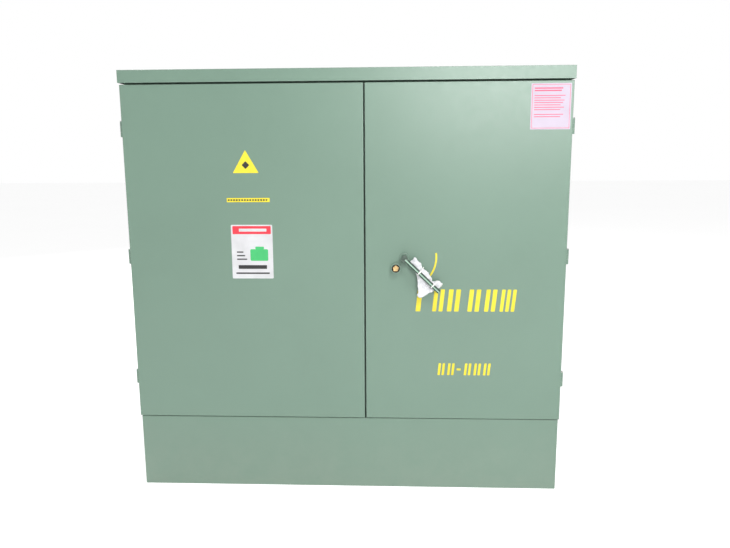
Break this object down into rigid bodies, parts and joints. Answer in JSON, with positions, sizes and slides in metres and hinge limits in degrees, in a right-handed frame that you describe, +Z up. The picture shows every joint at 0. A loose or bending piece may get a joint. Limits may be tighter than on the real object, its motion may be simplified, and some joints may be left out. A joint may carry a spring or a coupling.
{
  "type": "pad-mounted transformer",
  "caption": "Green two-door pad-mounted transformer: liquid-filled finned tank behind a terminal cabinet with hinged doors, latch handle, switch, fuses, gauges and cable terminals.",
  "frame": {"origin": "centre of the footprint on the pad, at the height of the base", "axes": "+Z up, doors face -Y, +X to the right seen from the doors"},
  "size_m": [1.721, 1.348, 1.669],
  "materials": {
    "green_paint": "satin enamel over sheet steel",
    "handle_paint": "gloss enamel on the forged lever",
    "dark_steel": "blackened spring washer",
    "zinc_steel": "zinc plated",
    "rubber": "matte",
    "core_steel": "laminated, oiled",
    "copper": "enamelled winding",
    "epoxy": "cast epoxy",
    "grey_plastic": "glass-filled",
    "red_plastic": "moulded",
    "tinned_metal": "tin plated",
    "brass": "satin",
    "label_film": "printed film",
    "label_paper": "printed paper",
    "yellow_film": "cut vinyl",
    "clear_film": "crumpled film",
    "nylon": "moulded"
  },
  "bodies": {
    "cabinet": {"base_rails": "green_paint", "tank_shell": "green_paint", "tank_front_plate": "green_paint", "tank_cover": "green_paint", "handhole_cover": "green_paint", "lifting_lugs": "green_paint", "cooling_fins": "green_paint", "left_cabinet_side": "green_paint", "right_cabinet_side": "green_paint", "header": "green_paint", "front_sill": "green_paint", "barrier": "green_paint", "roof": "green_paint", "frame_hinge_leaves": "green_paint", "cover_gasket": "rubber", "bolts": "zinc_steel", "core": "core_steel", "core_clamps": "zinc_steel", "lv_coils": "copper", "hv_coils": "copper", "leads": "copper", "hinge_pins": "zinc_steel", "hv_bushings": "epoxy", "parking_stands": "zinc_steel", "fuse_housings": "grey_plastic", "operator_bosses": "zinc_steel", "lv_bushings": "epoxy", "spade_terminals": "tinned_metal", "ground_pads": "zinc_steel", "gauge_cases": "tinned_metal", "relief_valve": "brass", "drain_valve": "brass", "nameplate": "tinned_metal"},
    "left_door": {"left_door": "green_paint", "left_door_leaves": "green_paint", "left_stiffeners": "green_paint", "left_labels": "label_film"},
    "right_door": {"right_door": "green_paint", "right_door_leaves": "green_paint", "right_stiffeners": "green_paint", "lock_collar": "green_paint", "paper_label": "label_paper", "yellow_marks": "yellow_film"},
    "handle": {"lever": "handle_paint", "latch_cam": "zinc_steel", "accessory_bag": "clear_film", "cable_ties": "nylon"},
    "upper_rod": {"upper_rod": "zinc_steel"},
    "lower_rod": {"lower_rod": "zinc_steel"},
    "lock_washer": {"lock_washer": "dark_steel"},
    "lock_bolt": {"lock_bolt": "brass"},
    "switch_handle": {"switch_handle": "red_plastic"},
    "tap_changer_knob": {"tap_changer_knob": "rubber"},
    "fuse_holder_1": {"fuse_holder_1": "grey_plastic"},
    "fuse_holder_2": {"fuse_holder_2": "grey_plastic"},
    "fuse_holder_3": {"fuse_holder_3": "grey_plastic"},
    "thermometer_needle": {"thermometer_needle": "red_plastic"},
    "level_needle": {"level_needle": "red_plastic"},
    "relief_ring": {"relief_ring": "zinc_steel"},
    "drain_handwheel": {"drain_handwheel": "red_plastic"}
  },
  "joints": [
    {"name": "left_door_swing", "type": "hinge", "parent": "cabinet", "child": "left_door", "pos_m": [-0.8535, -0.612, 0.95875], "axis": [0, 0, -1], "range_deg": [0, 120]},
    {"name": "right_door_swing", "type": "hinge", "parent": "cabinet", "child": "right_door", "pos_m": [0.8535, -0.612, 0.95875], "axis": [0, 0, 1], "range_deg": [0, 120]},
    {"name": "handle_turn", "type": "hinge", "parent": "right_door", "child": "handle", "pos_m": [0.2285, -0.626, 0.958], "axis": [0, 1, 0], "range_deg": [-45, 45]},
    {"name": "upper_rod_slide", "type": "slide", "parent": "right_door", "child": "upper_rod", "axis": [0, 0, 1], "range_m": [-0.0215, 0.0215]},
    {"name": "lower_rod_slide", "type": "slide", "parent": "right_door", "child": "lower_rod", "axis": [0, 0, -1], "range_m": [-0.0215, 0.0215]},
    {"name": "lock_bolt_travel", "type": "slide", "parent": "right_door", "child": "lock_washer", "axis": [0, 1, 0], "range_m": [0, 0.008]},
    {"name": "lock_bolt_turn", "type": "hinge", "parent": "lock_washer", "child": "lock_bolt", "pos_m": [0.1955, -0.626, 0.917], "axis": [0, 1, 0], "range_deg": [-5, 1445]},
    {"name": "switch_turn", "type": "hinge", "parent": "cabinet", "child": "switch_handle", "pos_m": [-0.22435, -0.026, 1.33], "axis": [0, 1, 0], "range_deg": [0, 90]},
    {"name": "tap_turn", "type": "hinge", "parent": "cabinet", "child": "tap_changer_knob", "pos_m": [-0.06445, -0.026, 1.33], "axis": [0, 1, 0], "range_deg": [-60, 60]},
    {"name": "fuse_1_pull", "type": "slide", "parent": "cabinet", "child": "fuse_holder_1", "axis": [0, -1, 0], "range_m": [0, 0.12]},
    {"name": "fuse_2_pull", "type": "slide", "parent": "cabinet", "child": "fuse_holder_2", "axis": [0, -1, 0], "range_m": [0, 0.12]},
    {"name": "fuse_3_pull", "type": "slide", "parent": "cabinet", "child": "fuse_holder_3", "axis": [0, -1, 0], "range_m": [0, 0.12]},
    {"name": "thermometer_turn", "type": "hinge", "parent": "cabinet", "child": "thermometer_needle", "pos_m": [0.21031, -0.026, 1.39], "axis": [0, 1, 0], "range_deg": [-120, 120]},
    {"name": "level_turn", "type": "hinge", "parent": "cabinet", "child": "level_needle", "pos_m": [0.37994, -0.026, 1.39], "axis": [0, 1, 0], "range_deg": [-45, 45]},
    {"name": "relief_pull", "type": "slide", "parent": "cabinet", "child": "relief_ring", "axis": [0, -1, 0], "range_m": [0, 0.008]},
    {"name": "drain_turn", "type": "hinge", "parent": "cabinet", "child": "drain_handwheel", "pos_m": [0.54956, -0.071, 0.252], "axis": [0, 0, 1], "range_deg": [0, 720]}
  ],
  "couplings": [
    {"joint": "upper_rod_slide", "follows": "handle_turn", "m_per_rad": 0.02701},
    {"joint": "lower_rod_slide", "follows": "handle_turn", "m_per_rad": 0.02701},
    {"joint": "lock_bolt_turn", "follows": "lock_bolt_travel", "rad_per_m": 3141.6}
  ]
}
